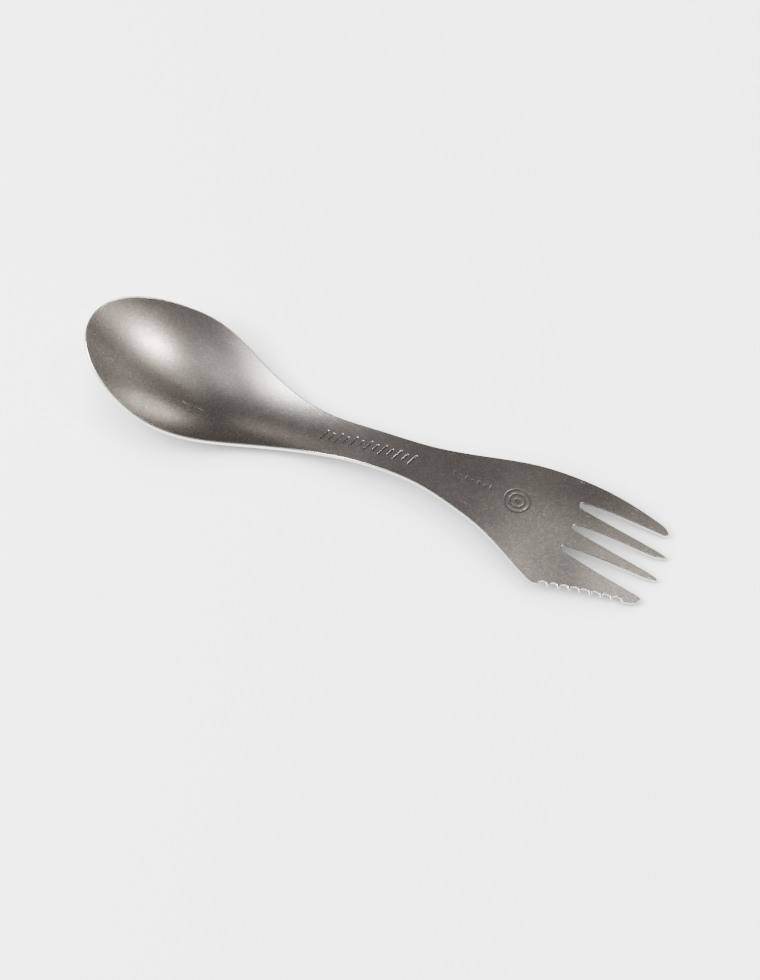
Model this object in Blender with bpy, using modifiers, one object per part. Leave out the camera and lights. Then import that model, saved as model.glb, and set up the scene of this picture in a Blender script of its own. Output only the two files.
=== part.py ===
"""One-piece pressed titanium travel cutlery: a spoon bowl at one end and a fork at the other.

The piece is made here as it is in the press shop.  A flat blank is cut to the plan outline,
sliced into small panels, pressed to its curved form, given the sheet's thickness and tumbled
so that its edges are rounded.  The frame is in metres with +Z up.  The spoon bowl points along
-X, the fork along +X, the serrated tine is on the -Y side, and the piece lies on z = 0 as it
would on a table, with the hollow of the bowl facing up.
"""

import math

import bmesh
import bpy
import numpy as np
from mathutils import Matrix

MM = 0.001

# Sheet and overall sizes, in millimetres.
SHEET = 1.1
EDGE_ROUND = 0.25
LENGTH = 170.0
HALF_LENGTH = LENGTH / 2

# Spoon bowl: its end is half an ellipse around the widest section.
BOWL_HALF_WIDTH = 19.5
BOWL_END_LENGTH = 28.0
BOWL_CENTRE_X = BOWL_END_LENGTH - HALF_LENGTH
BOWL_JOIN_ANGLE = 14.5
BOWL_END_POINTS = 31

# Half-widths along the piece as (x, half-width).  Both sides share the bowl, neck and waist.
# The fork's plain side is slimmer than its serrated side.
SHARED_HALF_WIDTHS = [
    (-71.0, 16.9), (-64.0, 18.9), (-57.0, 19.5), (-47.0, 17.3), (-37.0, 13.1), (-27.0, 9.4),
    (-14.0, 6.6), (2.0, 5.8), (16.0, 6.5), (27.0, 8.9), (35.0, 11.25),
]
PLAIN_HALF_WIDTHS = SHARED_HALF_WIDTHS + [(44.0, 13.8), (56.0, 15.4), (66.0, 14.95), (74.0, 13.85), (79.0, 12.88)]
KNIFE_HALF_WIDTHS = SHARED_HALF_WIDTHS + [(44.0, 15.0), (50.0, 17.8), (53.0, 19.1)]
KNIFE_SHOULDER = [(53.0, -19.1), (54.6, -19.55), (56.05, -19.38)]

# Serrations: half-round notches ground between the first and last tooth.
FIRST_TOOTH = (56.34, -19.31)
LAST_TOOTH = (75.74, -14.53)
NOTCH_COUNT = 8
NOTCH_DEPTH = 1.05
TOOTH_FLAT = 0.6
NOTCH_POINTS = 9
KNIFE_TIP = [
    (78.5, -13.85), (79.5, -13.68), (80.5, -13.38), (81.5, -12.92), (82.3, -12.2),
    (82.78, -11.4), (82.75, -10.92), (82.2, -10.5),
]

# Slots between the four tines as (near edge, far edge, end of the root).  Each edge runs from the
# root towards the tips, as (x, y).
SLOTS = [
    (
        [(59.2, -7.62), (64.8, -8.62), (73.0, -9.60), (81.0, -10.28)],
        [(59.2, -6.02), (66.0, -5.62), (74.0, -5.00), (81.2, -4.60)],
        58.2,
    ),
    (
        [(59.6, -0.52), (65.3, -1.25), (73.3, -1.98), (81.2, -2.52)],
        [(59.6, 1.10), (66.0, 1.72), (74.0, 2.10), (81.0, 2.42)],
        58.65,
    ),
    (
        [(58.9, 6.52), (64.3, 5.80), (72.7, 5.13), (81.0, 4.60)],
        [(58.9, 8.22), (63.1, 8.75), (72.0, 9.33), (81.4, 9.74)],
        57.95,
    ),
]
SLOT_POINTS = 8
ROOT_ANGLES = (-60.0, -30.0, 0.0, 30.0, 60.0)
# Rounded ends of the two inner tines and of the plain outer tine.
INNER_TIPS = [
    [(82.7, -4.38), (84.0, -4.03), (84.75, -3.65), (84.85, -3.4), (84.3, -3.12), (83.0, -2.8)],
    [(82.8, 2.73), (84.1, 3.2), (84.72, 3.62), (84.7, 3.88), (83.9, 4.15), (82.7, 4.42)],
]
PLAIN_TIP = [(82.15, 9.84), (82.5, 10.3), (82.4, 10.95), (81.85, 11.65), (81.0, 12.24), (79.96, 12.66)]
TIP_STEPS = 2

# Pressed form: height of the upper surface along the middle as (x, z), and how strongly each
# cross-section curves as (x, curvature), where z grows by curvature * y * y.
SPINE = [
    (-85.0, 19.5), (-76.0, 12.9), (-66.0, 7.2), (-56.0, 3.5), (-46.0, 1.45), (-37.5, 1.15),
    (-27.0, 2.1), (-15.0, 4.2), (-3.0, 6.9), (9.0, 8.35), (25.0, 8.55), (41.5, 7.65),
    (59.0, 5.65), (65.0, 4.95), (72.0, 3.8), (85.0, 1.33),
]
SECTION = [
    (-85.0, 0.0163), (-50.0, 0.0163), (-28.0, 0.0197), (-12.0, 0.0128), (4.0, 0.0030),
    (14.0, 0.0), (38.0, -0.0020), (52.0, -0.0042), (64.0, -0.0030), (85.0, -0.0010),
]
# A small flat under the bowl that the piece stands on.
SEAT_HEIGHT = 1.35

# Panels that the blank is sliced into, and the steps along its outline.
PANEL_LENGTH = 2.6
PANEL_WIDTH = 2.4
CUT_REACH = 0.02
SIDE_STEP = 2.4
SHOULDER_STEPS = 3
# Corners sharper than these angles, in degrees, are rounded or shaded as edges.
ROUNDED_ABOVE = 60.0
SHARP_ABOVE = 35.0

TITANIUM = (0.30, 0.285, 0.27, 1.0)
TITANIUM_ROUGHNESS = 0.45


def spline(knots):
    """Natural cubic through the knots, straight beyond them."""
    x = np.array([k[0] for k in knots], float)
    y = np.array([k[1] for k in knots], float)
    h = np.diff(x)
    last = len(x) - 1
    system = np.eye(last + 1)
    load = np.zeros(last + 1)
    for i in range(1, last):
        system[i, i - 1 : i + 2] = h[i - 1], 2 * (h[i - 1] + h[i]), h[i]
        load[i] = 6 * ((y[i + 1] - y[i]) / h[i] - (y[i] - y[i - 1]) / h[i - 1])
    bend = np.linalg.solve(system, load)

    def value(at):
        i = min(max(int(np.searchsorted(x, at)) - 1, 0), last - 1)
        a = min(max(x[i + 1] - at, 0.0), h[i])
        b = h[i] - a
        inside = (bend[i] * a**3 + bend[i + 1] * b**3) / (6 * h[i])
        inside += (y[i] / h[i] - bend[i] * h[i] / 6) * a + (y[i + 1] / h[i] - bend[i + 1] * h[i] / 6) * b
        chord = (y[i + 1] - y[i]) / h[i]
        if at < x[0]:
            return inside + (at - x[0]) * (chord - h[i] * bend[i + 1] / 6)
        if at > x[last]:
            return inside + (at - x[last]) * (chord + h[i] * bend[i] / 6)
        return inside

    return value


def path(points, steps):
    """Smooth open path through plan points, with the given steps between each two."""
    along_x = spline([(i, p[0]) for i, p in enumerate(points)])
    along_y = spline([(i, p[1]) for i, p in enumerate(points)])
    count = (len(points) - 1) * steps
    return [(along_x(i / steps), along_y(i / steps)) for i in range(count + 1)]


def bowl_end():
    """Half ellipse round the bowl's end, from the far side to the near side."""
    start = 90.0 + BOWL_JOIN_ANGLE
    angles = np.linspace(start, 360.0 - start, BOWL_END_POINTS)
    return [
        (
            BOWL_CENTRE_X + BOWL_END_LENGTH * math.cos(math.radians(a)),
            BOWL_HALF_WIDTH * math.sin(math.radians(a)),
        )
        for a in angles
    ]


def side(knots, side_sign):
    """One long side from the bowl to its last knot, without its two ends."""
    width = spline(knots)
    start = bowl_end()[0][0]
    end = knots[-1][0]
    count = round((end - start) / SIDE_STEP)
    xs = [start + (end - start) * i / count for i in range(1, count)]
    return [(x, side_sign * width(x)) for x in xs]


def serrations():
    """Scalloped cutting edge from the first tooth to the plain end of the serrated tine."""
    first = np.array(FIRST_TOOTH)
    pitch = (np.array(LAST_TOOTH) - first) / (NOTCH_COUNT - 1)
    along = pitch / np.linalg.norm(pitch)
    inward = np.array([-along[1], along[0]])
    span = np.linalg.norm(pitch) - TOOTH_FLAT
    radius = (span**2 / 4 + NOTCH_DEPTH**2) / (2 * NOTCH_DEPTH)
    half_angle = math.asin(span / 2 / radius)
    points = []
    for notch in range(NOTCH_COUNT):
        start = first + pitch * notch + along * TOOTH_FLAT / 2
        centre = start + along * span / 2 + inward * (NOTCH_DEPTH - radius)
        for turn in np.linspace(-half_angle, half_angle, NOTCH_POINTS):
            offset = along * math.sin(turn) + inward * math.cos(turn)
            points.append(tuple(centre + offset * radius))
    return points


def slot(near_knots, far_knots, root_x):
    """Slot outline, in along its near edge, round the root and out along its far edge."""
    near_y = spline(near_knots)
    far_y = spline(far_knots)
    start_x = near_knots[0][0]
    near = [(x, near_y(x)) for x in np.linspace(near_knots[-1][0], start_x, SLOT_POINTS)]
    far = [(x, far_y(x)) for x in np.linspace(start_x, far_knots[-1][0], SLOT_POINTS)]
    middle = (near[-1][1] + far[0][1]) / 2
    half = (far[0][1] - near[-1][1]) / 2
    root = [
        (start_x - (start_x - root_x) * math.cos(math.radians(a)), middle + half * math.sin(math.radians(a)))
        for a in ROOT_ANGLES
    ]
    return near + root + far


def outline():
    """Plan outline of the blank, anticlockwise, starting on the far side of the bowl."""
    points = bowl_end()
    points += side(KNIFE_HALF_WIDTHS, -1.0)
    points += path(KNIFE_SHOULDER, SHOULDER_STEPS)[:-1]
    points += serrations()
    points += path(KNIFE_TIP, TIP_STEPS)
    points += slot(*SLOTS[0])
    for tip, next_slot in zip(INNER_TIPS, SLOTS[1:]):
        points += path(tip, TIP_STEPS)
        points += slot(*next_slot)
    points += path(PLAIN_TIP, TIP_STEPS)
    points.append((PLAIN_HALF_WIDTHS[-1][0], PLAIN_HALF_WIDTHS[-1][1]))
    points += reversed(side(PLAIN_HALF_WIDTHS, 1.0))
    return points


def slice_blank(mesh):
    """Cuts the blank along and across, so that it can take the pressed form."""
    cuts = [(x, "x") for x in np.arange(PANEL_LENGTH - HALF_LENGTH, HALF_LENGTH, PANEL_LENGTH)]
    rows = int(BOWL_HALF_WIDTH / PANEL_WIDTH)
    cuts += [(row * PANEL_WIDTH, "y") for row in range(-rows, rows + 1)]
    for place, axis in cuts:
        point = (place * MM, 0, 0) if axis == "x" else (0, place * MM, 0)
        normal = (1, 0, 0) if axis == "x" else (0, 1, 0)
        everything = mesh.verts[:] + mesh.edges[:] + mesh.faces[:]
        bmesh.ops.bisect_plane(mesh, geom=everything, dist=CUT_REACH * MM, plane_co=point, plane_no=normal)


def press(mesh):
    """Lifts each point of the flat blank to the pressed form."""
    spine = spline(SPINE)
    section = spline(SECTION)
    for vertex in mesh.verts:
        x = vertex.co.x / MM
        y = vertex.co.y / MM
        height = spine(x) + section(x) * y * y
        vertex.co.z = max(height, SEAT_HEIGHT) * MM


def titanium():
    """Bare tumbled titanium."""
    material = bpy.data.materials.new("titanium")
    material.use_nodes = True
    shader = material.node_tree.nodes["Principled BSDF"]
    shader.inputs["Base Color"].default_value = TITANIUM
    shader.inputs["Metallic"].default_value = 1.0
    shader.inputs["Roughness"].default_value = TITANIUM_ROUGHNESS
    return material


def make_cutlery(collection):
    """The whole piece: blank, slices, pressing, sheet thickness and tumbled edges."""
    mesh = bmesh.new()
    corners = [mesh.verts.new((x * MM, y * MM, 0)) for x, y in outline()]
    mesh.faces.new(corners)
    slice_blank(mesh)
    press(mesh)
    data = bpy.data.meshes.new("cutlery")
    mesh.to_mesh(data)
    mesh.free()
    data.materials.append(titanium())
    piece = bpy.data.objects.new("cutlery", data)
    collection.objects.link(piece)

    sheet = piece.modifiers.new("sheet thickness", "SOLIDIFY")
    sheet.thickness = SHEET * MM
    sheet.offset = -1.0
    sheet.use_rim = True
    tumble = piece.modifiers.new("tumbled edges", "BEVEL")
    tumble.width = EDGE_ROUND * MM
    tumble.segments = 1
    tumble.limit_method = "ANGLE"
    tumble.angle_limit = math.radians(ROUNDED_ABOVE)
    data.shade_smooth()
    data.set_sharp_from_angle(angle=math.radians(SHARP_ABOVE))
    return piece


def centre_on_origin(piece):
    """Stands the finished piece on z = 0 with its box centred over the origin."""
    graph = bpy.context.evaluated_depsgraph_get()
    finished = piece.evaluated_get(graph).to_mesh()
    points = np.array([vertex.co for vertex in finished.vertices])
    low = points.min(axis=0)
    middle = (low + points.max(axis=0)) / 2
    piece.data.transform(Matrix.Translation((-middle[0], -middle[1], -low[2])))


def main():
    for item in list(bpy.data.objects):
        bpy.data.objects.remove(item)
    collection = bpy.data.collections.new("picnic_cutlery")
    bpy.context.scene.collection.children.link(collection)
    piece = make_cutlery(collection)
    centre_on_origin(piece)


main()
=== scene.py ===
import math

import bmesh
import bpy
import numpy as np
from mathutils import Matrix, Vector
from mathutils.kdtree import KDTree


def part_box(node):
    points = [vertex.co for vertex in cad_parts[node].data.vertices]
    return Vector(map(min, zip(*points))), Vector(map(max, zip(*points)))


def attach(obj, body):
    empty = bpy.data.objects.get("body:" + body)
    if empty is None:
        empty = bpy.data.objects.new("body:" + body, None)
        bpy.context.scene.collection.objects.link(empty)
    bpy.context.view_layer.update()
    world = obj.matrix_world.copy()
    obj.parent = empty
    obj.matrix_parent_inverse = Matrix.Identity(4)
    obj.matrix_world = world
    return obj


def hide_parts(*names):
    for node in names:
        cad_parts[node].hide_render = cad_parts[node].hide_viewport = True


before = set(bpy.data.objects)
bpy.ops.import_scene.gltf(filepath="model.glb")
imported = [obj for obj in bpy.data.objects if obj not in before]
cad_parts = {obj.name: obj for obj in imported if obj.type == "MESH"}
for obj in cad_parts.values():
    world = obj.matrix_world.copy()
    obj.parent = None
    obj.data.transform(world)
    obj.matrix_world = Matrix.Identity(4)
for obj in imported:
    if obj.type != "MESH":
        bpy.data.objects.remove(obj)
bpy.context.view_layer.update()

bl_info = {
    "name": "Double-ended travel cutlery",
    "version": (1, 0, 0),
    "blender": (4, 5, 0),
    "location": "3D View > Sidebar > Cutlery",
    "description": "One pressed sheet of titanium with a spoon bowl at one end and a fork at the other",
    "category": "Add Mesh",
}

# Everything up to the finished mesh is worked out in millimetres, with the bowl towards -X, the
# fork towards +X and the serrated tine on the -Y side.
MM = 0.001
NODE = "cutlery"
RIM_DISTANCE = "rim_distance"
STAMPED = "stamped"

# Spoon bowl: its end is half an ellipse round the widest section.
BOWL_HALF_WIDTH = 19.5
BOWL_END_LENGTH = 28.0
BOWL_CENTRE_X = -57.0
BOWL_JOIN_ANGLE = 14.5

# Half-widths along the piece as (x, half-width).  Both sides share the bowl, neck and waist.
SHARED_HALF_WIDTHS = [
    (-71.0, 16.9), (-64.0, 18.9), (-57.0, 19.5), (-47.0, 17.3), (-37.0, 13.1), (-27.0, 9.4),
    (-14.0, 6.6), (2.0, 5.8), (16.0, 6.5), (27.0, 8.9), (35.0, 11.25),
]
PLAIN_HALF_WIDTHS = SHARED_HALF_WIDTHS + [
    (44.0, 13.8), (56.0, 15.4), (66.0, 14.95), (74.0, 13.85), (79.0, 12.88),
]
KNIFE_HALF_WIDTHS = SHARED_HALF_WIDTHS + [(44.0, 15.0), (50.0, 17.8), (53.0, 19.1)]
KNIFE_SHOULDER = [(53.0, -19.1), (54.6, -19.55), (56.05, -19.38)]

# Serrations: half-round notches ground between the first and last tooth.
FIRST_TOOTH = (56.34, -19.31)
LAST_TOOTH = (75.74, -14.53)
NOTCH_COUNT = 8
NOTCH_DEPTH = 1.05
TOOTH_FLAT = 0.6
NOTCH_POINTS = 15
KNIFE_TIP = [
    (78.5, -13.85), (79.5, -13.68), (80.5, -13.38), (81.5, -12.92), (82.3, -12.2),
    (82.78, -11.4), (82.75, -10.92), (82.2, -10.5),
]

# Slots between the four tines as (near edge, far edge, end of the root).  Each edge runs from the
# root towards the tips, as (x, y).
SLOTS = [
    (
        [(59.2, -7.62), (64.8, -8.62), (73.0, -9.60), (81.0, -10.28)],
        [(59.2, -6.02), (66.0, -5.62), (74.0, -5.00), (81.2, -4.60)],
        58.2,
    ),
    (
        [(59.6, -0.52), (65.3, -1.25), (73.3, -1.98), (81.2, -2.52)],
        [(59.6, 1.10), (66.0, 1.72), (74.0, 2.10), (81.0, 2.42)],
        58.65,
    ),
    (
        [(58.9, 6.52), (64.3, 5.80), (72.7, 5.13), (81.0, 4.60)],
        [(58.9, 8.22), (63.1, 8.75), (72.0, 9.33), (81.4, 9.74)],
        57.95,
    ),
]
# Points along each slot edge, and the directions of the points round its root.
SLOT_POINTS = 45
ROOT_ANGLES = np.linspace(-75.0, 75.0, 11)
# Rounded ends of the two inner tines and of the plain outer tine.
INNER_TIPS = [
    [(82.7, -4.38), (84.0, -4.03), (84.75, -3.65), (84.85, -3.4), (84.3, -3.12), (83.0, -2.8)],
    [(82.8, 2.73), (84.1, 3.2), (84.72, 3.62), (84.7, 3.88), (83.9, 4.15), (82.7, 4.42)],
]
PLAIN_TIP = [(82.15, 9.84), (82.5, 10.3), (82.4, 10.95), (81.85, 11.65), (81.0, 12.24), (79.96, 12.66)]

# Pressed form: height of the upper surface along the middle as (x, z), and how strongly each
# cross-section curves as (x, curvature), where z grows by curvature * y * y.
SPINE = [
    (-85.0, 19.5), (-76.0, 12.9), (-66.0, 7.2), (-56.0, 3.5), (-46.0, 1.45), (-37.5, 1.15),
    (-27.0, 2.1), (-15.0, 4.2), (-3.0, 6.9), (9.0, 8.35), (25.0, 8.55), (41.5, 7.65),
    (59.0, 5.65), (65.0, 4.95), (72.0, 3.8), (85.0, 1.33),
]
SECTION = [
    (-85.0, 0.0163), (-50.0, 0.0163), (-28.0, 0.0197), (-12.0, 0.0128), (4.0, 0.0030),
    (14.0, 0.0), (38.0, -0.0020), (52.0, -0.0042), (64.0, -0.0030), (85.0, -0.0010),
]
# Underside height where the bowl's lowest spot is rubbed flat.
SEAT_Z = 0.25

# Points round the bowl's end, spacing along the sides, and points per knot of the short paths.
BOWL_END_POINTS = 121
SIDE_STEP = 0.5
PATH_STEPS = 8
# Turn of the rim's rounded section: 0 faces up, 90 faces out, 180 faces down.  The two turns
# beside each other at 90 are the upper and lower end of the flat edge.
RIM_TURNS = (0.0, 22.5, 45.0, 67.5, 90.0, 90.01, 112.5, 135.0, 157.5, 180.0)
# Share of the room inside a tooth or tip that its rounding may use, and how often the radii are
# evened out along the outline.
ROUND_SHARE = 0.8
RADIUS_ROUNDS = 6
TINY = 1e-6

# Shallow stamped marks: slanted strokes on the handle, dots and dashes before the fork, and two
# rings round a dot on the fork's base.  A region is (low x, high x, low y, high y).
STROKE_REGION = (-16.8, 14.4, -2.4, 2.4)
DASH_REGION = (22.4, 36.0, -0.8, 2.4)
RING_REGION = (37.6, 47.2, -4.0, 4.8)
STROKE_COUNT = 13
STROKE_START_X = -14.6
STROKE_PITCH = 2.2
STROKE_HALF_HEIGHTS = (1.55, 0.95)
STROKE_LEAN = 0.35
DASH_COUNT = 7
DASH_START_X = 24.0
DASH_PITCH = 1.75
DASH_Y = 0.85
DASH_HALF_HEIGHT = 0.42
RING_CENTRE = (42.4, 0.4)
RING_RADII = (3.4, 2.0)
DOT_RADIUS = 0.5
LINE_HALF_WIDTH = 0.17
LINE_SOFTNESS = 0.22
# Depth of the small mark and the rings beside that of the long mark.
FAINT_SHARE = 0.45
# Distance that counts as far from every mark.
FAR = 9.0
# Step over which the surface's slope is taken.
SLOPE_STEP = 0.02
# A cut passes through points that are within this share of a panel.
CUT_REACH = 0.015
# Least upward part of the direction of a face on the flat top.
FACING_UP = 0.999

# Studio, in metres from here on.  Half the side of the square table, and its dull surface.
FLOOR_HALF = 8.0
FLOOR_ROUGHNESS = 0.9
FLOOR_SHINE = 0.1
# Samples of the shadow painted on the table round the piece.
PAINTED_SHADOW_SAMPLES = 8
BLACK = (0.0, 0.0, 0.0, 1.0)
WHITE = (1.0, 1.0, 1.0, 1.0)
NEUTRAL = (1.0, 1.0, 1.0)
WARM = (1.0, 0.94, 0.88)
# Soft boxes as (name, angle round the piece from +X, angle above the table, size, power, colour),
# all aimed at the spoon bowl from the same distance.
SOFT_BOXES = [
    ("left_soft_box", 215.0, 36.0, 0.36, 31.6, NEUTRAL),
    ("high_left_soft_box", 198.0, 52.0, 0.36, 18.5, NEUTRAL),
    ("neck_soft_box", 240.0, 60.0, 0.36, 0.8, NEUTRAL),
    ("high_neck_soft_box", 210.0, 66.0, 0.36, 0.7, NEUTRAL),
    ("bowl_soft_box", 25.0, 55.0, 0.15, 6.6, WARM),
    ("overhead_soft_box", 0.0, 88.0, 0.50, 0.8, NEUTRAL),
    ("blade_soft_box", 105.0, 77.0, 0.25, 0.08, NEUTRAL),
    ("tine_soft_box", 66.0, 61.0, 0.20, 0.12, NEUTRAL),
    ("fork_soft_box", 60.0, 28.0, 0.35, 0.25, WARM),
    ("far_soft_box", 84.0, 20.0, 0.30, 1.1, WARM),
    ("far_left_soft_box", 122.0, 36.0, 0.30, 0.2, WARM),
    ("near_soft_box", 322.0, 60.0, 0.40, 0.08, NEUTRAL),
]
SOFT_BOX_DISTANCE = 1.2
# Where the soft boxes aim: a point in the spoon bowl.
SOFT_BOX_AIM = (-0.0546, 0.004, 0.0078)
# Point on the handle that the view is set by, from the low corner of the piece's box, and how far
# it sits from the middle of the view.
VIEW_POINT = (0.086646, 0.020017, 0.007895)
VIEW_RIGHT = -0.001086
VIEW_UP = 0.01167
SENSOR = 36.0
NEAREST_SEEN = 0.01

# Grain.  The ground blade shows it most: in full from the second of each pair of places on, and
# the rest of the piece by the share below.
BLADE_GRAIN_X = (0.028, 0.048)
BLADE_GRAIN_Y = (0.006, -0.010)
GRAIN_OFF_BLADE = 0.6
# Rates of the middle grain and of the soft patches beside the fine grain's.
MIDDLE_GRAIN_RATE = 0.38
PATCH_RATE = 0.06
# Ranges of the random values that become facets, glints and patches.
FACET_RANGE = (0.45, 1.0)
GLINT_RANGE = (0.93, 0.97)
PATCH_RANGE = (0.32, 0.68)
# How much each shows in the colour.
FACET_SHARE = 0.5
PATCH_SHARE = 0.15
# Glints are painted into the colour as bright cells.
GLINT_SHARE = 0.6
SCRATCH_SHARE = 0.4
STAMPED_SHARE = 0.75
# Change of the roughness from the dull to the bright patches, and where the metal is worn or painted with
# glints.
DULL_ROUGHER = 0.02
BRIGHT_SMOOTHER = 0.015
WORN_SMOOTHER = 0.10
# Depth of a scratch beside the grain's.
SCRATCH_DEPTH = 0.5

# Wear.  Rubbed edges reach between these distances in from the rim, unevenly.
EDGE_RATE = 900.0
EDGE_REACH = (0.0002, 0.0006)
# Hair scratches: direction of each set, shift between the sets, stretch along and across, and the
# range of the random value that becomes a scratch.
SCRATCH_TURNS = (0.42, -0.9, 1.35)
SCRATCH_SHIFT = (0.013, 0.007)
SCRATCH_STRETCH = (110.0, 5200.0, 90.0)
SCRATCH_RANGE = (0.765, 0.83)
# Bright specks: how many per metre, and their size as a share of the room between them.
SPECK_RATE = 85.0
SPECK_SIZE = (0.018, 0.032)

# Sockets of the mix node when it mixes colours.
MIX_FACTOR = 0
MIX_FIRST = 6
MIX_SECOND = 7
MIX_RESULT = 2

# ---------------------------------------------------------------- sizes and finishes


class CutleryForm(bpy.types.PropertyGroup):
    """Sizes of the pressed sheet."""

    sheet: bpy.props.FloatProperty(
        name="Sheet", description="Thickness of the titanium sheet", default=0.0011, unit="LENGTH"
    )
    rounding: bpy.props.FloatProperty(
        name="Edge rounding", description="Radius that tumbling gives the edges", default=0.0003,
        unit="LENGTH",
    )
    panel: bpy.props.FloatProperty(
        name="Panel", description="Size of the mesh panels", default=0.0008, unit="LENGTH"
    )
    mark_panel: bpy.props.FloatProperty(
        name="Mark panel", description="Size of the mesh panels in the stamped marks", default=0.00016,
        unit="LENGTH",
    )
    mark_depth: bpy.props.FloatProperty(
        name="Mark depth", description="Depth of the stamped marks", default=0.00009, unit="LENGTH"
    )


class TitaniumFinish(bpy.types.PropertyGroup):
    """Colours and surface of the tumbled titanium."""

    dark: bpy.props.FloatVectorProperty(
        name="Dark", description="Titanium in its duller patches", default=(0.335, 0.305, 0.284, 1.0),
        size=4, subtype="COLOR", min=0.0, max=1.0,
    )
    light: bpy.props.FloatVectorProperty(
        name="Light", description="Titanium in its brighter patches", default=(0.600, 0.550, 0.515, 1.0),
        size=4, subtype="COLOR", min=0.0, max=1.0,
    )
    # Bare-metal colour of the wear, also used for the painted glints.
    wear_and_glints: bpy.props.FloatVectorProperty(
        name="Worn", description="Bare metal on rubbed edges and scratches", default=(0.66, 0.645, 0.62, 1.0),
        size=4, subtype="COLOR", min=0.0, max=1.0,
    )
    # Colour that the stamped marks are painted darker towards.
    stamped: bpy.props.FloatVectorProperty(
        name="Stamped", description="Dulled metal in the stamped marks", default=(0.10, 0.095, 0.09, 1.0),
        size=4, subtype="COLOR", min=0.0, max=1.0,
    )
    roughness: bpy.props.FloatProperty(
        name="Roughness", description="Roughness of the tumbled surface", default=0.285, min=0.0, max=1.0
    )
    grain: bpy.props.FloatProperty(
        name="Grain", description="Size of the surface grain", default=0.0004, unit="LENGTH"
    )
    grain_height: bpy.props.FloatProperty(
        name="Grain height", description="Height of the surface grain", default=0.000021, unit="LENGTH"
    )


class StudioSet(bpy.types.PropertyGroup):
    """Table, lights and camera."""

    floor: bpy.props.FloatVectorProperty(
        name="Floor", description="Colour of the table", default=(0.9, 0.9, 0.895, 1.0),
        size=4, subtype="COLOR", min=0.0, max=1.0,
    )
    floor_glow: bpy.props.FloatProperty(
        name="Floor glow", description="Light that the table gives by itself", default=2.2, min=0.0
    )
    # Reach and strength of the shadow painted on the table round the piece.
    painted_shadow_reach: bpy.props.FloatProperty(
        name="Contact reach", description="How far the piece dims the table round it", default=0.016,
        unit="LENGTH",
    )
    painted_shadow_strength: bpy.props.FloatProperty(
        name="Contact strength", description="How strongly the piece dims the table round it",
        default=1.1, min=0.0,
    )
    light_level: bpy.props.FloatProperty(
        name="Light level", description="Brightness of all the soft boxes together", default=1.0, min=0.0
    )
    air: bpy.props.FloatProperty(
        name="Air", description="Brightness of the room round the table", default=0.105, min=0.0
    )
    elevation: bpy.props.FloatProperty(
        name="Camera elevation", description="Angle of the view above the table", default=math.radians(58.0),
        subtype="ANGLE",
    )
    turn: bpy.props.FloatProperty(
        name="Camera turn", description="Angle of the view round the piece", default=math.radians(24.4),
        subtype="ANGLE",
    )
    distance: bpy.props.FloatProperty(
        name="Camera distance", description="Distance from the camera to the handle", default=0.60858,
        unit="LENGTH",
    )
    focal_length: bpy.props.FloatProperty(
        name="Focal length", description="Focal length of the camera", default=82.36, unit="CAMERA"
    )


# ---------------------------------------------------------------- plan outline


def spline(knots):
    """Natural cubic through the knots, straight beyond them, for whole arrays."""
    x = np.array([k[0] for k in knots], float)
    y = np.array([k[1] for k in knots], float)
    h = np.diff(x)
    last = len(x) - 1
    system = np.eye(last + 1)
    load = np.zeros(last + 1)
    for i in range(1, last):
        system[i, i - 1 : i + 2] = h[i - 1], 2 * (h[i - 1] + h[i]), h[i]
        load[i] = 6 * ((y[i + 1] - y[i]) / h[i] - (y[i] - y[i - 1]) / h[i - 1])
    bend = np.linalg.solve(system, load)
    first_slope = (y[1] - y[0]) / h[0] - h[0] * bend[1] / 6
    last_slope = (y[last] - y[last - 1]) / h[-1] + h[-1] * bend[last - 1] / 6

    def value(at):
        at = np.asarray(at, float)
        held = np.clip(at, x[0], x[last])
        i = np.clip(np.searchsorted(x, held) - 1, 0, last - 1)
        a = x[i + 1] - held
        b = held - x[i]
        found = (bend[i] * a**3 + bend[i + 1] * b**3) / (6 * h[i])
        found += (y[i] / h[i] - bend[i] * h[i] / 6) * a + (y[i + 1] / h[i] - bend[i + 1] * h[i] / 6) * b
        return found + np.minimum(at - x[0], 0) * first_slope + np.maximum(at - x[last], 0) * last_slope

    return value


def path(points):
    """Smooth open path through plan points."""
    places = np.arange(len(points))
    along_x = spline(list(zip(places, (p[0] for p in points))))
    along_y = spline(list(zip(places, (p[1] for p in points))))
    at = np.linspace(0, len(points) - 1, (len(points) - 1) * PATH_STEPS + 1)
    return list(zip(along_x(at), along_y(at)))


def bowl_end():
    """Half ellipse round the bowl's end, from the plain side to the serrated side."""
    start = 90.0 + BOWL_JOIN_ANGLE
    angles = np.radians(np.linspace(start, 360.0 - start, BOWL_END_POINTS))
    return list(zip(BOWL_CENTRE_X + BOWL_END_LENGTH * np.cos(angles), BOWL_HALF_WIDTH * np.sin(angles)))


def side(knots, side_sign):
    """One long side from the bowl to its last knot, without its two ends."""
    start = bowl_end()[0][0]
    end = knots[-1][0]
    xs = np.linspace(start, end, round((end - start) / SIDE_STEP) + 1)[1:-1]
    return list(zip(xs, side_sign * spline(knots)(xs)))


def serrations():
    """Scalloped cutting edge from the first tooth to the plain end of the serrated tine."""
    first = np.array(FIRST_TOOTH)
    pitch = (np.array(LAST_TOOTH) - first) / (NOTCH_COUNT - 1)
    along = pitch / np.linalg.norm(pitch)
    inward = np.array([-along[1], along[0]])
    span = np.linalg.norm(pitch) - TOOTH_FLAT
    radius = (span**2 / 4 + NOTCH_DEPTH**2) / (2 * NOTCH_DEPTH)
    half_angle = math.asin(span / 2 / radius)
    points = []
    for notch in range(NOTCH_COUNT):
        start = first + pitch * notch + along * TOOTH_FLAT / 2
        centre = start + along * span / 2 + inward * (NOTCH_DEPTH - radius)
        for turn in np.linspace(-half_angle, half_angle, NOTCH_POINTS):
            points.append(tuple(centre + (along * math.sin(turn) + inward * math.cos(turn)) * radius))
    return points


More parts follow.
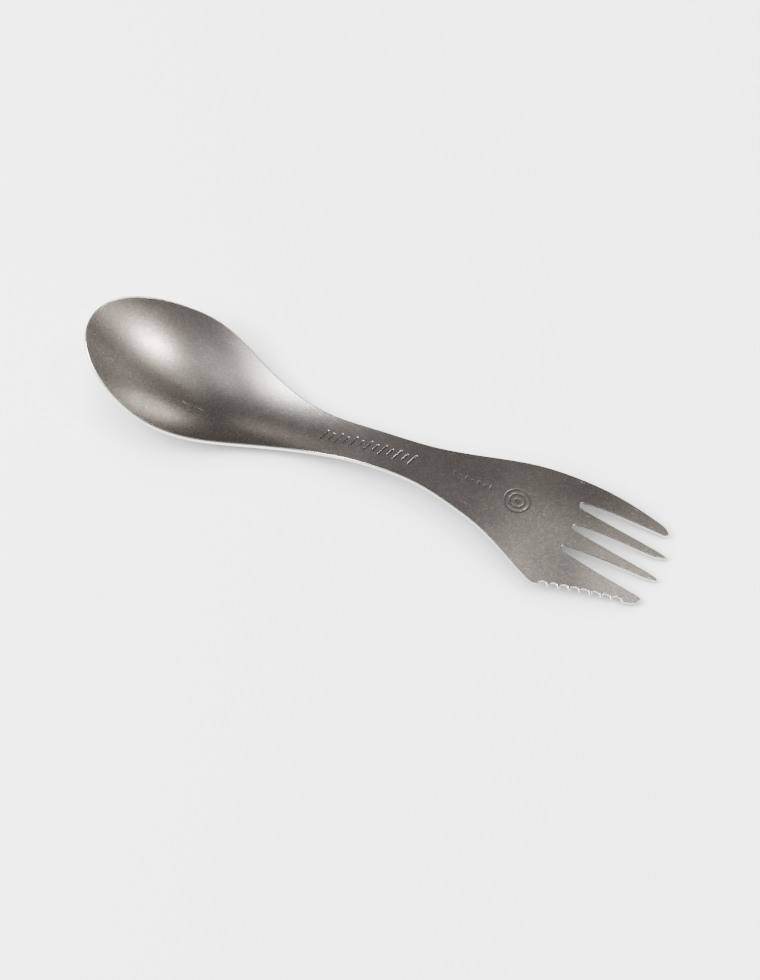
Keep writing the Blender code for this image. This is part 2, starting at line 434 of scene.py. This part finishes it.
def slot(near_knots, far_knots, root_x):
    """Slot outline, in along its near edge, round the root and out along its far edge."""
    start_x = near_knots[0][0]
    near_xs = np.linspace(near_knots[-1][0], start_x, SLOT_POINTS)
    far_xs = np.linspace(start_x, far_knots[-1][0], SLOT_POINTS)
    near = list(zip(near_xs, spline(near_knots)(near_xs)))
    far = list(zip(far_xs, spline(far_knots)(far_xs)))
    middle = (near[-1][1] + far[0][1]) / 2
    half = (far[0][1] - near[-1][1]) / 2
    angles = np.radians(ROOT_ANGLES)
    root = list(zip(start_x - (start_x - root_x) * np.cos(angles), middle + half * np.sin(angles)))
    return near + root + far


def outline():
    """Plan outline of the blank, anticlockwise, starting on the plain side of the bowl."""
    points = bowl_end()
    points += side(KNIFE_HALF_WIDTHS, -1.0)
    points += path(KNIFE_SHOULDER)[:-1]
    points += serrations()
    points += path(KNIFE_TIP)
    points += slot(*SLOTS[0])
    for tip, next_slot in zip(INNER_TIPS, SLOTS[1:]):
        points += path(tip)
        points += slot(*next_slot)
    points += path(PLAIN_TIP)
    points.append(PLAIN_HALF_WIDTHS[-1])
    points += reversed(side(PLAIN_HALF_WIDTHS, 1.0))
    return np.array(points)


def inward_normals(points):
    """Inward direction at each outline point, and how much further a corner has to move."""
    step = np.roll(points, -1, axis=0) - points
    step /= np.linalg.norm(step, axis=1)[:, None]
    after = np.stack([-step[:, 1], step[:, 0]], axis=1)
    both = after + np.roll(after, 1, axis=0)
    both /= np.linalg.norm(both, axis=1)[:, None]
    return both, 1 / (both * after).sum(axis=1)


def rim_radii(points, inward, wanted):
    """Rounding radius at each outline point, smaller where teeth and tips leave less room."""
    step = points[None] - points[:, None]
    along = np.einsum("ijk,ik->ij", step, inward)
    square = (step**2).sum(axis=2)
    room = np.where(along > TINY, square / np.maximum(2 * along, TINY), np.inf).min(axis=1)
    radii = np.minimum(wanted, ROUND_SHARE * room)
    for _ in range(RADIUS_ROUNDS):
        radii = np.minimum(radii, (np.roll(radii, 1) + radii + np.roll(radii, -1)) / 3)
    return radii


# ---------------------------------------------------------------- pressed surface


def nearest_line(lines, x, y):
    """Distance in plan from each point to the nearest of the straight lines."""
    near = np.full(x.shape, FAR)
    for x0, y0, x1, y1 in lines:
        length = max((x1 - x0) ** 2 + (y1 - y0) ** 2, 1e-9)
        t = np.clip(((x - x0) * (x1 - x0) + (y - y0) * (y1 - y0)) / length, 0, 1)
        near = np.minimum(near, np.hypot(x - x0 - t * (x1 - x0), y - y0 - t * (y1 - y0)))
    return near


def line_depth(near):
    """Share of the full depth at a distance from the middle of a stamped line."""
    t = np.clip((LINE_HALF_WIDTH + LINE_SOFTNESS - near) / LINE_SOFTNESS, 0, 1)
    return t * t * (3 - 2 * t)


def mark_depth(x, y, depth):
    """How far the stamped marks sink the upper surface."""
    strokes = []
    dashes = []
    for i in range(STROKE_COUNT):
        middle = STROKE_START_X + STROKE_PITCH * i
        half = STROKE_HALF_HEIGHTS[i % 2]
        strokes.append((middle - STROKE_LEAN * half, -half, middle + STROKE_LEAN * half, half))
    for i in range(DASH_COUNT):
        middle = DASH_START_X + DASH_PITCH * i
        half = 0.0 if i % 2 else DASH_HALF_HEIGHT
        dashes.append((middle, DASH_Y - half, middle, DASH_Y + half))
    sunk = line_depth(nearest_line(strokes, x, y))
    near = nearest_line(dashes, x, y)
    out = np.hypot(x - RING_CENTRE[0], y - RING_CENTRE[1])
    for radius in RING_RADII:
        near = np.minimum(near, np.abs(out - radius))
    near = np.minimum(near, np.maximum(out - DOT_RADIUS, 0))
    return depth * np.maximum(sunk, FAINT_SHARE * line_depth(near))


def slope_normals(height, x, y):
    """Upward normals of a height function."""
    across = (height(x + SLOPE_STEP, y) - height(x - SLOPE_STEP, y)) / (2 * SLOPE_STEP)
    along = (height(x, y + SLOPE_STEP) - height(x, y - SLOPE_STEP)) / (2 * SLOPE_STEP)
    normals = np.stack([-across, -along, np.ones_like(x)], axis=1)
    return normals / np.linalg.norm(normals, axis=1)[:, None]


def press(x, y, turn, radius, outward, sheet, stamped):
    """Places and normals of the pressed sheet for flat points at the given turn of its rim."""
    spine = spline(SPINE)
    section = spline(SECTION)

    def smooth_height(u, v):
        return spine(u) + section(u) * v * v

    def stamped_height(u, v):
        return smooth_height(u, v) - mark_depth(u, v, stamped)

    up = slope_normals(smooth_height, x, y)
    out = outward - (outward * up).sum(axis=1)[:, None] * up
    out /= np.maximum(np.linalg.norm(out, axis=1), 1e-9)[:, None]
    lower = turn > 90.0
    lean = np.cos(np.radians(turn))
    depth = np.where(lower, sheet - radius - radius * lean, radius - radius * lean)
    places = np.stack([x, y, smooth_height(x, y)], axis=1) - depth[:, None] * up
    normals = lean[:, None] * up + np.sin(np.radians(turn))[:, None] * out

    top = turn == 0.0
    places[top, 2] -= mark_depth(x[top], y[top], stamped)
    normals[top] = slope_normals(stamped_height, x[top], y[top])
    seat = lower & (places[:, 2] < SEAT_Z)
    places[seat, 2] = SEAT_Z
    normals[seat] = (0, 0, -1)
    return places, normals


def slice_faces(mesh, faces, low, high, step, reach):
    """Cuts flat faces into panels of about the given size, along and across."""
    edges = {edge for face in faces for edge in face.edges}
    verts = {vert for face in faces for vert in face.verts}
    geometry = faces + sorted(edges, key=lambda e: e.index) + sorted(verts, key=lambda v: v.index)
    for axis in (0, 1):
        count = round((high[axis] - low[axis]) / step)
        direction = Vector((0, 0, 0))
        direction[axis] = 1
        for place in np.linspace(low[axis], high[axis], count + 1)[1:-1]:
            cut = bmesh.ops.bisect_plane(
                mesh, geom=geometry, dist=reach, plane_co=direction * float(place), plane_no=direction
            )
            geometry = cut["geom"]


def flat_plate(form):
    """The flat blank with rounded edges.  Layers keep each point's place on the rim."""
    points = outline()
    inward, stretch = inward_normals(points)
    radii = rim_radii(points, inward, form.rounding / MM)
    mesh = bmesh.new()
    turn_layer = mesh.verts.layers.float.new("turn")
    radius_layer = mesh.verts.layers.float.new("radius")
    outward_layer = mesh.verts.layers.float_vector.new("outward")
    rings = []
    for level, turn in enumerate(RIM_TURNS):
        inset = radii * (1 - math.sin(math.radians(turn)))
        places = points + inward * (inset * stretch)[:, None]
        ring = []
        for place, radius, direction in zip(places, radii, inward):
            vert = mesh.verts.new((place[0], place[1], -level))
            vert[turn_layer] = turn
            vert[radius_layer] = radius
            vert[outward_layer] = (-direction[0], -direction[1], 0)
            ring.append(vert)
        rings.append(ring)
    for upper, below in zip(rings, rings[1:]):
        for i in range(len(upper)):
            j = (i + 1) % len(upper)
            mesh.faces.new((below[i], below[j], upper[j], upper[i]))
    top = mesh.faces.new(rings[0])
    bottom = mesh.faces.new(reversed(rings[-1]))
    mesh.verts.index_update()
    mesh.edges.index_update()

    panel = form.panel / MM
    low = np.floor(points.min(axis=0) / panel) * panel
    high = np.ceil(points.max(axis=0) / panel) * panel
    slice_faces(mesh, [top, bottom], low, high, panel, panel * CUT_REACH)
    fine = form.mark_panel / MM
    for low_x, high_x, low_y, high_y in (STROKE_REGION, DASH_REGION, RING_REGION):
        mesh.normal_update()
        mesh.verts.index_update()
        mesh.edges.index_update()
        faces = []
        for face in mesh.faces:
            middle = face.calc_center_median()
            if face.normal.z > FACING_UP and low_x < middle.x < high_x and low_y < middle.y < high_y:
                faces.append(face)
        slice_faces(mesh, faces, (low_x, low_y), (high_x, high_y), fine, fine * CUT_REACH)
    return mesh, points


def read(data, name, width):
    """A point attribute as an array, which is then dropped from the mesh."""
    found = np.empty(len(data.vertices) * width, np.float32)
    data.attributes[name].data.foreach_get("value" if width == 1 else "vector", found)
    data.attributes.remove(data.attributes[name])
    return found.astype(float) if width == 1 else found.reshape(-1, width).astype(float)


def rim_distances(points, flat):
    """Distance from each flat point to the outline."""
    dense = []
    for a, b in zip(points, np.roll(points, -1, axis=0)):
        dense += [a, a * 0.75 + b * 0.25, a * 0.5 + b * 0.5, a * 0.25 + b * 0.75]
    tree = KDTree(len(dense))
    for i, point in enumerate(dense):
        tree.insert((point[0], point[1], 0), i)
    tree.balance()
    return np.array([tree.find((place[0], place[1], 0))[2] for place in flat])


def cutlery_mesh(form):
    """Mesh of the whole pressed piece, in metres, in the frame's own place."""
    mesh, points = flat_plate(form)
    data = bpy.data.meshes.new("pressed_titanium_cutlery")
    mesh.to_mesh(data)
    mesh.free()
    flat = np.empty(len(data.vertices) * 3)
    data.vertices.foreach_get("co", flat)
    flat = flat.reshape(-1, 3)
    turn = read(data, "turn", 1)
    radius = read(data, "radius", 1)
    outward = read(data, "outward", 3)
    places, normals = press(
        flat[:, 0], flat[:, 1], turn, radius, outward, form.sheet / MM, form.mark_depth / MM
    )
    low = np.array(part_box(NODE)[0])
    high = np.array(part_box(NODE)[1])
    own_low = places.min(axis=0)
    own_high = places.max(axis=0)
    places = low + (places - own_low) * (high - low) / (own_high - own_low)
    data.vertices.foreach_set("co", places.ravel())
    sunk = np.where(turn == 0.0, mark_depth(flat[:, 0], flat[:, 1], 1.0), 0.0)
    stamped = data.attributes.new(STAMPED, "FLOAT", "POINT")
    stamped.data.foreach_set("value", sunk.astype(np.float32))
    near = data.attributes.new(RIM_DISTANCE, "FLOAT", "POINT")
    near.data.foreach_set("value", (rim_distances(points, flat) * MM).astype(np.float32))
    data.shade_smooth()
    data.update()
    data.normals_split_custom_set_from_vertices([tuple(n) for n in normals])
    return data


# ---------------------------------------------------------------- surface effects


def add(tree, kind, place, **settings):
    """A node at a place in the tree, with its properties set."""
    node = tree.nodes.new(kind)
    node.location = place
    for name, value in settings.items():
        setattr(node, name, value)
    return node


def put(tree, socket, value):
    """Sets a socket, or links it to another socket."""
    if isinstance(value, bpy.types.NodeSocket):
        tree.links.new(value, socket)
    else:
        socket.default_value = value


def maths(tree, operation, place, *values):
    """A math node's result."""
    node = add(tree, "ShaderNodeMath", place, operation=operation)
    for socket, value in zip(node.inputs, values):
        put(tree, socket, value)
    return node.outputs["Value"]


def ramp(tree, place, value, from_low, from_high, to_low=0.0, to_high=1.0):
    """A clamped map from one range to another."""
    node = add(tree, "ShaderNodeMapRange", place, clamp=True)
    for name, given in (
        ("Value", value), ("From Min", from_low), ("From Max", from_high),
        ("To Min", to_low), ("To Max", to_high),
    ):
        put(tree, node.inputs[name], given)
    return node.outputs["Result"]


def noise(tree, place, position, scale, detail=2.0, roughness=0.5):
    """Noise at a scale, as a value."""
    node = add(tree, "ShaderNodeTexNoise", place)
    for name, given in (("Vector", position), ("Scale", scale), ("Detail", detail), ("Roughness", roughness)):
        put(tree, node.inputs[name], given)
    return node.outputs["Fac"]


def new_group(name, inputs, outputs):
    """An empty shader group with named sockets: the tree, its input node and its output node."""
    tree = bpy.data.node_groups.new(name, "ShaderNodeTree")
    for label, kind, default in inputs:
        socket = tree.interface.new_socket(name=label, in_out="INPUT", socket_type=kind)
        if default is not None:
            socket.default_value = default
    for label, kind in outputs:
        tree.interface.new_socket(name=label, in_out="OUTPUT", socket_type=kind)
    source = add(tree, "NodeGroupInput", (-1200, 0))
    result = add(tree, "NodeGroupOutput", (900, 0))
    return tree, source, result


def tumbled_grain():
    """Fine grain that tumbling with stones leaves: pits, bright facets and soft patches, and glints that the
    colour paints in.
    """
    tree, source, result = new_group(
        "tumbled_grain",
        [("Position", "NodeSocketVector", None), ("Size", "NodeSocketFloat", 0.0004)],
        [
            ("Height", "NodeSocketFloat"), ("Facet", "NodeSocketFloat"), ("Glint", "NodeSocketFloat"),
            ("Patch", "NodeSocketFloat"),
        ],
    )
    position = source.outputs["Position"]
    rate = maths(tree, "DIVIDE", (-1000, 0), 1.0, source.outputs["Size"])
    half_rate = maths(tree, "MULTIPLY", (-800, -200), rate, MIDDLE_GRAIN_RATE)
    fine = noise(tree, (-600, 200), position, rate, 2.0, 0.6)
    middle = noise(tree, (-600, -50), position, half_rate, 2.0, 0.55)
    both = maths(tree, "ADD", (-300, 100), fine, middle)
    tree.links.new(maths(tree, "MULTIPLY", (-100, 100), both, 0.5), result.inputs["Height"])

    cells = add(tree, "ShaderNodeTexVoronoi", (-600, -350), feature="F1")
    tree.links.new(position, cells.inputs["Vector"])
    tree.links.new(rate, cells.inputs["Scale"])
    parts = add(tree, "ShaderNodeSeparateColor", (-400, -350))
    tree.links.new(cells.outputs["Color"], parts.inputs["Color"])
    where = add(tree, "ShaderNodeSeparateXYZ", (-600, -850))
    tree.links.new(position, where.inputs["Vector"])
    blade_end = ramp(tree, (-400, -800), where.outputs["X"], *BLADE_GRAIN_X)
    blade_side = ramp(tree, (-400, -1000), where.outputs["Y"], *BLADE_GRAIN_Y)
    blade = maths(tree, "MULTIPLY", (-200, -900), blade_end, blade_side)
    strength = ramp(tree, (0, -800), blade, 0.0, 1.0, GRAIN_OFF_BLADE, 1.0)
    facet = ramp(tree, (-200, -350), parts.outputs["Red"], *FACET_RANGE)
    tree.links.new(maths(tree, "MULTIPLY", (200, -400), facet, strength), result.inputs["Facet"])
    # Glints: rare cells that the colour paints bright, as painted glints.
    glint = ramp(tree, (-200, -500), parts.outputs["Green"], *GLINT_RANGE)
    tree.links.new(maths(tree, "MULTIPLY", (200, -550), glint, strength), result.inputs["Glint"])

    patch_rate = maths(tree, "MULTIPLY", (-800, -600), rate, PATCH_RATE)
    patch = noise(tree, (-600, -600), position, patch_rate, 4.0, 0.62)
    tree.links.new(ramp(tree, (-300, -600), patch, *PATCH_RANGE), result.inputs["Patch"])
    return tree


def handling_marks():
    """Rubbed edges, hair scratches and bright specks from use."""
    tree, source, result = new_group(
        "handling_marks",
        [("Position", "NodeSocketVector", None), ("Rim Distance", "NodeSocketFloat", 0.01)],
        [("Edge", "NodeSocketFloat"), ("Scratch", "NodeSocketFloat"), ("Speck", "NodeSocketFloat")],
    )
    position = source.outputs["Position"]
    rim = source.outputs["Rim Distance"]
    uneven = noise(tree, (-900, 300), position, EDGE_RATE, 3.0, 0.6)
    reach = ramp(tree, (-650, 300), uneven, 0.3, 0.7, *EDGE_REACH)
    share = maths(tree, "DIVIDE", (-400, 300), rim, reach)
    tree.links.new(ramp(tree, (-150, 300), share, 0.2, 1.0, 1.0, 0.0), result.inputs["Edge"])

    lines = []
    for number, angle in enumerate(SCRATCH_TURNS):
        place = -100 - 250 * number
        shift = (SCRATCH_SHIFT[0] * number, SCRATCH_SHIFT[1] * number, 0.0)
        turned = add(tree, "ShaderNodeMapping", (-950, place))
        tree.links.new(position, turned.inputs["Vector"])
        turned.inputs["Rotation"].default_value = (0.0, 0.0, angle)
        turned.inputs["Location"].default_value = shift
        turned.inputs["Scale"].default_value = SCRATCH_STRETCH
        streak = noise(tree, (-700, place), turned.outputs["Vector"], 1.0, 1.0, 0.5)
        lines.append(ramp(tree, (-450, place), streak, *SCRATCH_RANGE))
    strongest = maths(tree, "MAXIMUM", (-200, -200), lines[0], lines[1])
    strongest = maths(tree, "MAXIMUM", (0, -300), strongest, lines[2])
    tree.links.new(strongest, result.inputs["Scratch"])

    spots = add(tree, "ShaderNodeTexVoronoi", (-700, -900), feature="F1")
    tree.links.new(position, spots.inputs["Vector"])
    spots.inputs["Scale"].default_value = SPECK_RATE
    speck = ramp(tree, (-450, -900), spots.outputs["Distance"], *SPECK_SIZE, 1.0, 0.0)
    tree.links.new(speck, result.inputs["Speck"])
    return tree


def mix_colours(tree, place, factor, first, second):
    """A mix of two colours."""
    node = add(tree, "ShaderNodeMix", place, data_type="RGBA")
    put(tree, node.inputs[MIX_FACTOR], factor)
    put(tree, node.inputs[MIX_FIRST], first)
    put(tree, node.inputs[MIX_SECOND], second)
    return node.outputs[MIX_RESULT]


def attribute(tree, place, name):
    """A point attribute of the mesh, as a value."""
    node = add(tree, "ShaderNodeAttribute", place, attribute_type="GEOMETRY", attribute_name=name)
    return node.outputs["Fac"]


def titanium(finish):
    """Bare titanium sheet, tumbled to a soft grey satin."""
    material = bpy.data.materials.new("tumbled_titanium")
    material.use_nodes = True
    tree = material.node_tree
    shader = tree.nodes["Principled BSDF"]
    shader.location = (900, 0)
    tree.nodes["Material Output"].location = (1200, 0)
    shader.inputs["Metallic"].default_value = 1.0
    position = add(tree, "ShaderNodeTexCoord", (-900, 0)).outputs["Object"]
    grain = add(tree, "ShaderNodeGroup", (-600, 200), node_tree=tumbled_grain())
    grain.inputs["Size"].default_value = finish.grain
    tree.links.new(position, grain.inputs["Position"])
    marks = add(tree, "ShaderNodeGroup", (-600, -200), node_tree=handling_marks())
    tree.links.new(position, marks.inputs["Position"])
    tree.links.new(attribute(tree, (-900, -300), RIM_DISTANCE), marks.inputs["Rim Distance"])

    facets = maths(tree, "MULTIPLY", (-350, 350), grain.outputs["Facet"], FACET_SHARE)
    patches = maths(tree, "MULTIPLY", (-350, 150), grain.outputs["Patch"], PATCH_SHARE)
    light_share = maths(tree, "ADD", (-150, 250), facets, patches)
    colour = mix_colours(tree, (50, 250), light_share, tuple(finish.dark), tuple(finish.light))
    # Painted glints: the grain's glint cells are mixed toward the bare-metal colour together with the rubbed
    # edges, specks and scratches.
    rubbed_and_glints = maths(tree, "MAXIMUM", (-300, -100), marks.outputs["Edge"], marks.outputs["Speck"])
    glints = maths(tree, "MULTIPLY", (-350, 500), grain.outputs["Glint"], GLINT_SHARE)
    rubbed_and_glints = maths(tree, "MAXIMUM", (-200, -50), rubbed_and_glints, glints)
    scratched = maths(tree, "MULTIPLY", (-300, -250), marks.outputs["Scratch"], SCRATCH_SHARE)
    wear_and_glints = maths(tree, "MAXIMUM", (-100, -150), rubbed_and_glints, scratched)
    colour = mix_colours(tree, (250, 150), wear_and_glints, colour, tuple(finish.wear_and_glints))
    # The stamped marks are painted darker in the colour.
    stamped = attribute(tree, (-900, -500), STAMPED)
    mark_darkening = maths(tree, "MULTIPLY", (250, 350), stamped, STAMPED_SHARE)
    colour = mix_colours(tree, (450, 250), mark_darkening, colour, tuple(finish.stamped))
    tree.links.new(colour, shader.inputs["Base Color"])

    dull = finish.roughness + DULL_ROUGHER
    bright = finish.roughness - BRIGHT_SMOOTHER
    rough = ramp(tree, (100, -50), grain.outputs["Patch"], 0.0, 1.0, dull, bright)
    smoother = maths(tree, "MULTIPLY", (100, -250), wear_and_glints, WORN_SMOOTHER)
    rough = maths(tree, "SUBTRACT", (350, -100), rough, smoother)
    tree.links.new(rough, shader.inputs["Roughness"])

    dug = maths(tree, "MULTIPLY", (100, -450), marks.outputs["Scratch"], SCRATCH_DEPTH)
    height = maths(tree, "SUBTRACT", (350, -400), grain.outputs["Height"], dug)
    bump = add(tree, "ShaderNodeBump", (600, -350))
    bump.inputs["Strength"].default_value = 1.0
    bump.inputs["Distance"].default_value = finish.grain_height
    tree.links.new(height, bump.inputs["Height"])
    tree.links.new(bump.outputs["Normal"], shader.inputs["Normal"])
    return material


# ---------------------------------------------------------------- operators


class CUTLERY_OT_make_cutlery(bpy.types.Operator):
    """Press the titanium sheet into the spoon bowl, handle and fork"""

    bl_idname = "cutlery.make_cutlery"
    bl_label = "Make cutlery"

    def execute(self, context):
        data = cutlery_mesh(context.scene.cutlery_form)
        data.materials.append(titanium(context.scene.titanium_finish))
        piece = bpy.data.objects.new("pressed_titanium_cutlery", data)
        context.scene.collection.objects.link(piece)
        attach(piece, "root")
        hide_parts(NODE)
        return {"FINISHED"}


def soft_box(context, name, azimuth, elevation, size, power, colour):
    """A square soft light aimed at the piece."""
    light = bpy.data.lights.new(name, "AREA")
    light.shape = "SQUARE"
    light.size = size
    light.energy = power
    light.color = colour
    lamp = bpy.data.objects.new(name, light)
    around = math.radians(azimuth)
    above = math.radians(elevation)
    level = math.cos(above)
    towards = Vector((level * math.cos(around), level * math.sin(around), math.sin(above)))
    lamp.location = Vector(SOFT_BOX_AIM) + towards * SOFT_BOX_DISTANCE
    lamp.rotation_euler = towards.to_track_quat("Z", "Y").to_euler()
    context.scene.collection.objects.link(lamp)


def studio_air(context, level):
    """Even, dim surroundings."""
    world = bpy.data.worlds.new("studio_air")
    world.use_nodes = True
    background = world.node_tree.nodes["Background"]
    background.inputs["Color"].default_value = WHITE
    background.inputs["Strength"].default_value = level
    context.scene.world = world


def table_top(context, studio):
    """A wide pale table with a painted shadow: its colour and glow are darkened a little where the piece
    comes close.
    """
    mesh = bmesh.new()
    bmesh.ops.create_grid(mesh, x_segments=1, y_segments=1, size=FLOOR_HALF)
    data = bpy.data.meshes.new("table_top")
    mesh.to_mesh(data)
    mesh.free()
    floor = bpy.data.objects.new("table_top", data)
    context.scene.collection.objects.link(floor)
    material = bpy.data.materials.new("pale_table")
    material.use_nodes = True
    tree = material.node_tree
    shader = tree.nodes["Principled BSDF"]
    # Painted shadow: ambient occlusion darkens the table's colour and its glow near the piece.
    shadow_occlusion = add(tree, "ShaderNodeAmbientOcclusion", (-600, 0), samples=PAINTED_SHADOW_SAMPLES)
    shadow_occlusion.inputs["Distance"].default_value = studio.painted_shadow_reach
    painted_shadow_factor = maths(tree, "POWER", (-400, 0), shadow_occlusion.outputs["AO"], studio.painted_shadow_strength)
    colour = mix_colours(tree, (-200, 100), painted_shadow_factor, BLACK, tuple(studio.floor))
    tree.links.new(colour, shader.inputs["Base Color"])
    shader.inputs["Roughness"].default_value = FLOOR_ROUGHNESS
    shader.inputs["Specular IOR Level"].default_value = FLOOR_SHINE
    shader.inputs["Emission Color"].default_value = WHITE
    glow = maths(tree, "MULTIPLY", (-200, -200), painted_shadow_factor, studio.floor_glow)
    tree.links.new(glow, shader.inputs["Emission Strength"])
    data.materials.append(material)


def view(context, studio):
    """The camera, set by a point on the handle."""
    level = math.cos(studio.elevation)
    height = math.sin(studio.elevation)
    back = Vector((level * math.sin(studio.turn), -level * math.cos(studio.turn), height))
    right = Vector((math.cos(studio.turn), math.sin(studio.turn), 0.0))
    up = back.cross(right)
    lens = bpy.data.cameras.new("camera")
    lens.sensor_width = SENSOR
    lens.lens = studio.focal_length
    lens.clip_start = NEAREST_SEEN
    camera = bpy.data.objects.new("camera", lens)
    seen = Vector(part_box(NODE)[0]) + Vector(VIEW_POINT)
    place = seen + back * studio.distance - right * VIEW_RIGHT - up * VIEW_UP
    camera.matrix_world = Matrix.Translation(place) @ Matrix((right, up, back)).transposed().to_4x4()
    context.scene.collection.objects.link(camera)
    context.scene.camera = camera


class CUTLERY_OT_make_studio(bpy.types.Operator):
    """Set up the pale table, the soft lights and the camera"""

    bl_idname = "cutlery.make_studio"
    bl_label = "Make studio"

    def execute(self, context):
        studio = context.scene.studio_set
        table_top(context, studio)
        for name, azimuth, above, size, power, colour in SOFT_BOXES:
            soft_box(context, name, azimuth, above, size, power * studio.light_level, colour)
        studio_air(context, studio.air)
        view(context, studio)
        return {"FINISHED"}


class CUTLERY_PT_sidebar(bpy.types.Panel):
    """Sizes, finish and studio of the travel cutlery"""

    bl_idname = "CUTLERY_PT_sidebar"
    bl_label = "Travel cutlery"
    bl_space_type = "VIEW_3D"
    bl_region_type = "UI"
    bl_category = "Cutlery"

    def draw(self, context):
        for group in ("cutlery_form", "titanium_finish", "studio_set"):
            box = self.layout.box()
            settings = getattr(context.scene, group)
            for name in settings.bl_rna.properties.keys():
                if name not in ("rna_type", "name"):
                    box.prop(settings, name)
        self.layout.operator(CUTLERY_OT_make_cutlery.bl_idname)
        self.layout.operator(CUTLERY_OT_make_studio.bl_idname)


CLASSES = (
    CutleryForm,
    TitaniumFinish,
    StudioSet,
    CUTLERY_OT_make_cutlery,
    CUTLERY_OT_make_studio,
    CUTLERY_PT_sidebar,
)


def register():
    for item in CLASSES:
        bpy.utils.register_class(item)
    bpy.types.Scene.cutlery_form = bpy.props.PointerProperty(type=CutleryForm)
    bpy.types.Scene.titanium_finish = bpy.props.PointerProperty(type=TitaniumFinish)
    bpy.types.Scene.studio_set = bpy.props.PointerProperty(type=StudioSet)


def unregister():
    del bpy.types.Scene.studio_set
    del bpy.types.Scene.titanium_finish
    del bpy.types.Scene.cutlery_form
    for item in reversed(CLASSES):
        bpy.utils.unregister_class(item)


def main():
    register()
    bpy.ops.cutlery.make_cutlery()
    bpy.ops.cutlery.make_studio()
    bpy.context.view_layer.update()


if __name__ == "__main__":
    main()
